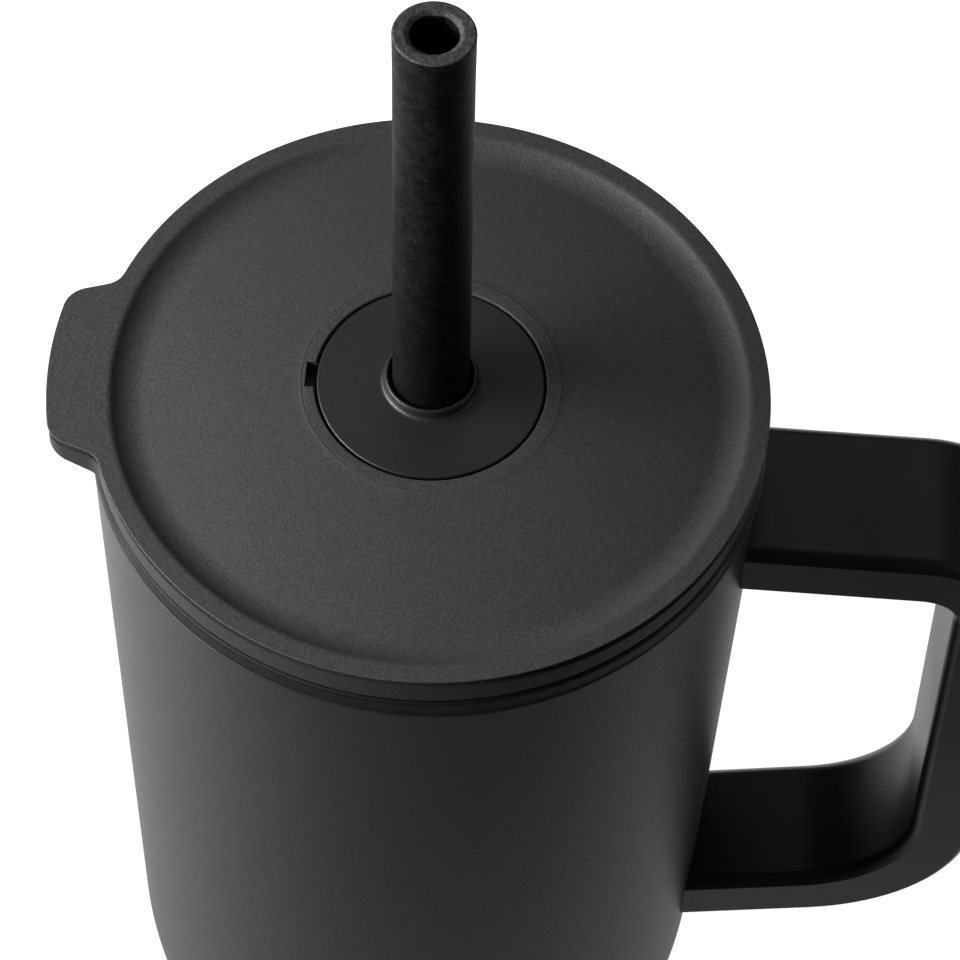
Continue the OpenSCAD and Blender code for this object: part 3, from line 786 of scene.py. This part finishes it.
def side_line(inset, offset):
    """A point on the tab's side and the side's outward direction, for the +Y side; the offset is outwards."""
    direction = Vector((-1, -TAB_FLARE)).normalized()
    outward = Vector((direction.y, -direction.x))
    return Vector((-TAB_SIDE_X, TAB_SIDE_Y)) + outward * (offset - inset), direction, outward


def lid_outline(inset):
    """Plan of the lid, inset by a distance, as points that match from one inset to the next."""
    rim = LID_R - inset
    tip = TAB_REACH - inset
    corner = max(TAB_CORNER - inset, 0.05)
    root = TAB_ROOT + inset
    start, direction, outward = side_line(inset, -corner)
    corner_c = meet(start, direction, tip - corner)
    start, direction, outward = side_line(inset, root)
    root_c = meet(start, direction, rim + root)
    tip_angle = math.degrees(math.atan2(corner_c.y, corner_c.x))
    side_angle = math.degrees(math.atan2(outward.y, outward.x))
    rim_angle = math.degrees(math.atan2(root_c.y, root_c.x))
    upper = arc(root_c.x, root_c.y, root, rim_angle + 180, side_angle + 180, 10)
    upper += arc(corner_c.x, corner_c.y, corner, side_angle, tip_angle, 10)
    lower = [(x, -y) for x, y in reversed(upper)]
    end = arc(0, 0, tip, tip_angle, 360 - tip_angle, 26)[1:-1]
    around = arc(0, 0, rim, -rim_angle, rim_angle, 250)[1:-1]
    return upper + end + lower + around


def plan_angles():
    """Angles of the inner circles' points: they match the outline, and are evenly spread across the tab."""
    angles = [math.atan2(y, x) % TAU for x, y in lid_outline(0)]
    side_points = 22                    # two arcs of 11 points on each side of the tab
    end_points = 25                     # along the tab's tip
    across_tab = 2 * side_points + end_points
    start, end = angles[0], angles[across_tab - 1]
    even = [start + (end - start) * i / (across_tab - 1) for i in range(across_tab)]
    return even + angles[across_tab:]


PLAN_ANGLES = plan_angles()


def plan_ring(inset, z):
    """A ring with the lid's plan, inset by a distance."""
    return [(x, y, z) for x, y in lid_outline(inset)]


def circle_ring(radius, z):
    """A round ring whose points match those of a plan ring."""
    return [(radius * math.cos(a), radius * math.sin(a), z) for a in PLAN_ANGLES]


def deck_line():
    """Top of the cover, from the hole outwards: rounded edge, fine ring, low dome, fillet and step."""
    fillet = 6.0
    shallow = 10                        # slope of the dome where the fillet starts, in degrees
    steep = math.radians(35)            # slope of the step where the fillet ends
    head = (RIM_IN_R - 0.7, RIM_Z - 0.28)
    fillet_c = (head[0] - fillet * math.sin(steep), head[1] + fillet * math.cos(steep))
    dish = arc(fillet_c[0], fillet_c[1], fillet, 270 - shallow, 270 + math.degrees(steep), 18)
    edge = dish[0]
    crown_r = 30.0
    crown_z = edge[1] + (edge[0] - crown_r) * math.tan(math.radians(shallow))
    crown = bezier((HOLE_R, DOME_Z), (crown_r, crown_z), edge, 28)
    line = [(HOLE_R + 0.02, DOME_Z - 0.3), (HOLE_R + 0.08, DOME_Z - 0.12), (HOLE_R + 0.25, DOME_Z - 0.02)]
    ring_r = HOLE_R + 1.85
    line += [(ring_r - 0.22, DOME_Z - 0.03), (ring_r, DOME_Z - 0.085), (ring_r + 0.22, DOME_Z - 0.05)]
    line += [(r, z) for r, z in crown if r > ring_r + 0.4]
    line += dish[1:]
    line += bezier(head, (RIM_IN_R - 0.3, RIM_Z), (RIM_IN_R + 0.3, RIM_Z), 8)[1:]
    return line


def cover():
    """Cover of the lid: rounded edge all round the rim and the tab, and the groove under it."""
    edge_z = RIM_Z - COVER_EDGE
    under_z = SKIRT_TOP
    soft = 0.16
    rings = [circle_ring(HOLE_R, DOME_Z - 3), circle_ring(HOLE_R, DOME_Z - 0.45)]
    rings += [circle_ring(r, z) for r, z in deck_line()]
    for step in range(7):
        turn = math.radians(90 - 90 * step / 6)
        rings.append(plan_ring(soft - soft * math.cos(turn), RIM_Z - soft + soft * math.sin(turn)))
    rings += [plan_ring(0.09, edge_z + 0.1), plan_ring(0.22, edge_z)]
    rings += [plan_ring(GROOVE_IN, edge_z), plan_ring(GROOVE_IN, under_z)]
    rings += [circle_ring(r, z) for r, z in ((UNDER_R, SKIRT_TOP - 0.4), (HOLE_R + 8, SKIRT_TOP),
                                             (HOLE_R + 1.6, DOME_Z - 2.4), (HOLE_R + 1.6, DOME_Z - 3))]
    piece = skin("lid_cover_shell", rings, True)
    notch_half = 2.25
    notch_depth = 2.6
    notch_low = (-HOLE_R - 1.4, -notch_half, DOME_Z - notch_depth)
    notch_high = (-HOLE_R + 1.5, notch_half, DOME_Z + 3)
    cut(piece, block("notch", notch_low, notch_high))
    return finish_piece(piece, "lid", "lid_plastic", (LID_PLASTIC,), "lid_cover")


def tab_floor(x):
    """Height of the skirt's lower edge: level under the rim, rising under the tab towards its tip."""
    share = (-x - LID_R - 0.3) / (TAB_REACH - LID_R)
    share = min(max(share, 0), 1)
    return SKIRT_Z + 1.7 * share


def lid_body():
    """Skirt and lower half of the tab, plug with its seal groove, floor, and socket for the disc."""
    soft = 0.4

    def skirt_ring(inset, rise):
        return [(x, y, tab_floor(x) + rise) for x, y in lid_outline(SKIRT_IN + inset)]

    rings = [plan_ring(SKIRT_IN + 0.22, SKIRT_TOP), plan_ring(SKIRT_IN + 0.07, SKIRT_TOP - 0.05),
             plan_ring(SKIRT_IN, SKIRT_TOP - 0.2)]
    for step in range(6):
        turn = math.radians(90 * step / 5)
        rings.append(skirt_ring(soft - soft * math.cos(turn), soft - soft * math.sin(turn)))
    seat_r = HOLE_R + 1.6
    inside = [(LID_R - 1.6, SKIRT_Z, 0), (LID_R - 1.6, CUP_H, 0), (PLUG_R, CUP_H, 0.4),
              (PLUG_R, SEAL_Z + SEAL_H, 0.15), (PLUG_R - 1.4, SEAL_Z + SEAL_H, 0.2),
              (PLUG_R - 1.4, SEAL_Z, 0.2),
              (PLUG_R, SEAL_Z, 0.15), (PLUG_R, PLUG_Z, 0.9), (SOCKET_R, PLUG_Z, 0.5),
              (SOCKET_R, DOME_Z - 4.4, 0.2), (seat_r, DOME_Z - 4.4, 0.1), (seat_r, DOME_Z - 6.4, 0.3),
              (SOCKET_R + 1.6, DOME_Z - 6.4, 0.3), (SOCKET_R + 1.6, PLUG_Z + 1.6, 0.8),
              (PLUG_R - PLUG_WALL, PLUG_Z + 1.6, 0.8), (PLUG_R - PLUG_WALL, SKIRT_TOP - 0.4, 0),
              (PLUG_R - PLUG_WALL + 0.4, SKIRT_TOP, 0)]
    rings += [circle_ring(r, z) for r, z in rounded(inside, 4)]
    return finish_piece(skin("lid_body", rings, True), "lid", "lid_plastic", (LID_PLASTIC_SHADED,), "lid_base")


def lid_gasket():
    """Double-finned seal in the plug's groove."""
    back = PLUG_R - 1.4
    base = PLUG_R - 0.2
    fin = MOUTH_R - 0.05
    corners = [(back, SEAL_Z, 0.1), (base, SEAL_Z, 0.25), (base, SEAL_Z + 0.6, 0.2),
               (fin, SEAL_Z + 1.35, 0.2),
               (fin, SEAL_Z + 1.95, 0.2), (base, SEAL_Z + 2.1, 0.2), (base, SEAL_Z + 3.6, 0.2),
               (fin, SEAL_Z + 4.25, 0.2), (fin, SEAL_Z + 4.85, 0.2), (base, SEAL_Z + 5.1, 0.2),
               (base, SEAL_Z + SEAL_H, 0.25), (back, SEAL_Z + SEAL_H, 0.1)]
    piece = lathe("lid_gasket", rounded(corners, 4), 200)
    return finish_piece(piece, "lid", "seal_silicone", (SEAL_SILICONE,), "lid_seal")


# ---------------------------------------------------------------- straw disc

def disc():
    """Disc with a rolled collar, the wall of its plug, and the barrel that carries the straw."""
    bore_r = STRAW_R + 0.35
    collar_r = 6.95
    mouth = bore_r + 0.2                # the bore opens a little at its mouth
    lip = (collar_r - mouth) / 2
    top_z = COLLAR_Z - 0.3
    hill_z = DOME_Z + 0.5
    plate_z = DOME_Z - 2.2
    wall_in = INSERT_R - 1.5
    top = [(bore_r, STOP_Z + 0.3), (bore_r, top_z - 1.6), (mouth, top_z - 0.8), (mouth, top_z - lip)]
    top += arc(collar_r - lip, top_z - lip, lip, 180, 20, 10)[1:]
    top += bezier((collar_r + 0.02, top_z - 1.0), (collar_r + 0.1, hill_z + 0.1),
                  (collar_r + 0.7, hill_z - 0.01), 8)
    top += bezier((collar_r + 4, hill_z - 0.13), (DISC_R - 2, DOME_Z + 0.1), (DISC_R - 0.3, DOME_Z - 0.01), 8)
    top += arc(DISC_R - 0.25, DOME_Z - 0.26, 0.25, 90, 0, 6)[1:]
    under = [(DISC_R, plate_z, 0.3), (INSERT_R, plate_z, 0.3), (INSERT_R, RING_Z + RING_H, 0.1),
             (INSERT_R - 1, RING_Z + RING_H, 0.1), (INSERT_R - 1, RING_Z, 0.1), (INSERT_R, RING_Z, 0.1),
             (INSERT_R, BARREL_Z, 0.6), (wall_in, BARREL_Z, 0.3), (wall_in, plate_z, 0.8),
             (BARREL_R, plate_z, 0.8),
             (BARREL_R, BARREL_Z, 0.4), (SLEEVE_R, BARREL_Z, 0.2), (SLEEVE_R, STOP_Z - 2, 0.1),
             (TUBE_R + 0.3, STOP_Z - 2, 0.1), (TUBE_R + 0.3, STOP_Z, 0.1), (bore_r, STOP_Z, 0)]
    piece = lathe("disc", top + rounded(under, 4)[:-1], 176)
    return finish_piece(piece, "straw_insert", "disc_plastic", (DISC_PLASTIC,), "straw_disc")


def disc_ring():
    """Soft ring in the groove of the disc's plug."""
    back = INSERT_R - 1
    out = SOCKET_R - 0.05
    mid = RING_Z + RING_H / 2
    corners = [(back, RING_Z, 0.1), (INSERT_R - 0.1, RING_Z, 0.2), (out, mid - 0.5, 0.3),
               (out, mid + 0.5, 0.3),
               (INSERT_R - 0.1, RING_Z + RING_H, 0.2), (back, RING_Z + RING_H, 0.1)]
    piece = lathe("disc_ring", rounded(corners, 4), 128)
    return finish_piece(piece, "straw_insert", "seal_silicone", (SEAL_SILICONE,), "disc_seal")


def sleeve():
    """Soft sleeve in the barrel that grips the straw's tube, and the ring that holds it in."""
    bottom = low("straw_grommet").z
    top = high("straw_grommet").z
    corners = [(TUBE_R + 0.05, bottom, 0.3), (SLEEVE_R, bottom, 0.1), (SLEEVE_R, top, 0.1),
               (TUBE_R + 0.05, top, 0.3)]
    piece = lathe("sleeve", rounded(corners, 4), 96)
    finish_piece(piece, "straw_insert", "seal_silicone", (SEAL_SILICONE,), "straw_grommet")
    corners = [(TUBE_R + 0.4, BARREL_Z, 0.25), (SLEEVE_R - 0.01, BARREL_Z, 0.15),
               (SLEEVE_R - 0.01, bottom, 0.1),
               (TUBE_R + 0.4, bottom, 0.25)]
    piece = lathe("sleeve_ring", rounded(corners, 4), 96)
    finish_piece(piece, "straw_insert", "disc_plastic", (DISC_PLASTIC,), "grommet_ring")


# ---------------------------------------------------------------- straw

def straw_lean(z):
    """The soft straw leans a little towards the tab above the collar."""
    slope = 0.01
    blend = 20                          # height over which the lean sets in
    rise = max(z - COLLAR_Z - 2, 0)
    return -slope * rise * min(rise / blend, 1)


def mouthpiece():
    """Soft straw: moulded side, sliced tip with a torn grain, and an uneven bevel into the bore."""
    segments = 128
    bore = 3.7
    neck = 3.45                         # the cut leaves a narrower lip inside
    tip_r = STRAW_R + 0.1
    soft = 0.35
    slant = 0.04                        # the cut falls away from the front by this slope
    # each row: radius, height, roughness of the cut
    rows = [(bore, STOP_Z, 0), (STRAW_R - 0.15, STOP_Z, 0), (STRAW_R, STOP_Z + 0.15, 0)]
    rows += [(STRAW_R, STOP_Z + 17 + 4 * k, 0) for k in range(19)]
    rows += [(r, z, 0.3) for r, z in arc(tip_r - soft, STRAW_Z - soft - 0.06, soft, -20, 90, 7)]
    rows += [(r, STRAW_Z - 0.06, 1.0) for r in (5.3, 5.06, 4.82, 4.58, 4.34, 4.12)]
    rows += [(4.00, STRAW_Z - 0.13, 1.4), (3.88, STRAW_Z - 0.22, 1.4), (3.72, STRAW_Z - 0.32, 1.4),
             (3.55, STRAW_Z - 0.42, 1.4), (neck, STRAW_Z - 0.62, 1.2), (neck + 0.02, STRAW_Z - 1.4, 0.5)]
    rows += [(bore, STRAW_Z - 3, 0), (bore, STRAW_Z - 10, 0), (bore, STRAW_Z - 40, 0)]
    rings = []
    for radius, z, cut_grain in rows:
        ring = []
        for i in range(segments):
            angle = TAU * i / segments
            place = Vector((radius * math.cos(angle), radius * math.sin(angle), 0))
            rough = noise.noise(place * 2.6) * 0.06 + noise.noise(place * 6.1) * 0.03
            pull = noise.noise(place * 0.8 + Vector((0, 0, 7))) * 0.11
            r = radius + cut_grain * pull * (0.2 if radius > 5 else 1.0)
            cut_share = min(max((z - STRAW_Z + 6) / 6, 0), 1)
            fall = slant * cut_share * (r * math.sin(angle) + tip_r)
            height = min(z + cut_grain * (rough - 0.02), STRAW_Z) - fall
            ring.append((r * math.cos(angle) + straw_lean(z), r * math.sin(angle), height))
        rings.append(ring)
    piece = skin("mouthpiece", rings, True, 40)
    return finish_piece(piece, "straw", "straw_silicone", (STRAW_SILICONE,), "straw_mouthpiece")


# ---------------------------------------------------------------- CAD nodes that keep their shape

def dress_nodes():
    """Nodes whose shape is right keep it and get a better material."""
    kept = {"shell_bottom": STEEL_BASE, "vacuum_seal": SOLDER, "getter": GETTER,
            "upper_bracket": STEEL_BRACKET,
            "lower_bracket": STEEL_BRACKET, "handle_screws": STEEL_SCREW, "straw_tube": TUBE_PLASTIC}
    for name, material in kept.items():
        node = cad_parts[name]
        node.data.materials.clear()
        node.data.materials.append(material)


# ---------------------------------------------------------------- studio

def aim_at(thing, target):
    """Turns a light towards a point in millimetres."""
    thing.rotation_euler = (Vector(target) * MM - thing.location).to_track_quat("-Z", "Y").to_euler()


def soft_box(name, place, target, width, height, power, spread):
    """Rectangular soft light, with the angle that its grid lets through in degrees."""
    light = bpy.data.lights.new(name, "AREA")
    light.shape = "RECTANGLE"
    light.size = width * MM
    light.size_y = height * MM
    light.energy = power
    light.spread = math.radians(spread)
    lamp = bpy.data.objects.new(name, light)
    bpy.context.scene.collection.objects.link(lamp)
    lamp.location = Vector(place) * MM
    bpy.context.view_layer.update()
    aim_at(lamp, target)
    return lamp


def studio():
    """White floor, dim room and four soft lights: two on the left, one high behind and a weak one on the
    right."""
    size = 4000
    points = [(x, y, 0) for x, y in ((-size, -size), (size, -size), (size, size), (-size, size))]
    floor = add_piece("floor", points, [(0, 1, 2, 3)])
    floor.data.materials.append(floor_material())
    lid_centre = (0, 0, RIM_Z)
    soft_box("key_light", (-345, -105, 360), (-60, -20, RIM_Z), 280, 200, 1.2, 110)
    soft_box("left_light", (-470, 60, 400), lid_centre, 400, 400, 1.5, 180)
    soft_box("back_light", (60, 560, 1000), lid_centre, 700, 700, 0.58, 180)
    soft_box("right_light", (700, -100, 500), lid_centre, 400, 400, 0.5, 180)
    world = bpy.data.worlds.new("room")
    bpy.context.scene.world = world
    world.use_nodes = True
    world.node_tree.nodes["Background"].inputs["Color"].default_value = (1, 1, 1, 1)
    world.node_tree.nodes["Background"].inputs["Strength"].default_value = 0.048


def camera():
    """Long lens above the front, looking down on the lid, tilted a little to one side."""
    aim = Vector((8.49, -15.49, RIM_Z))
    azimuth = math.radians(-88.13)
    elevation = math.radians(56.81)
    roll = math.radians(-2.50)
    distance = 710.0
    level = Vector((math.cos(azimuth), math.sin(azimuth), 0))
    back = level * math.cos(elevation) + Vector((0, 0, 1)) * math.sin(elevation)
    right = Vector((0, 0, 1)).cross(back).normalized()
    up = back.cross(right)
    tilted_up = up * math.cos(roll) + right * math.sin(roll)
    tilted_right = right * math.cos(roll) - up * math.sin(roll)
    turn = Matrix((tilted_right, tilted_up, back)).transposed().to_4x4()
    lens = bpy.data.cameras.new("camera")
    lens.sensor_width = 36
    lens.lens = 180.19
    lens.clip_end = 20
    view = bpy.data.objects.new("camera", lens)
    bpy.context.scene.collection.objects.link(view)
    view.matrix_world = Matrix.Translation((aim + back * distance) * MM) @ turn
    bpy.context.scene.camera = view
    bpy.context.scene.view_settings.view_transform = "Standard"


# ---------------------------------------------------------------- the whole mug

camera()
studio()
outer_wall()
bowl()
foot_plate()
handle()
cover()
lid_body()
lid_gasket()
disc()
disc_ring()
sleeve()
mouthpiece()
dress_nodes()
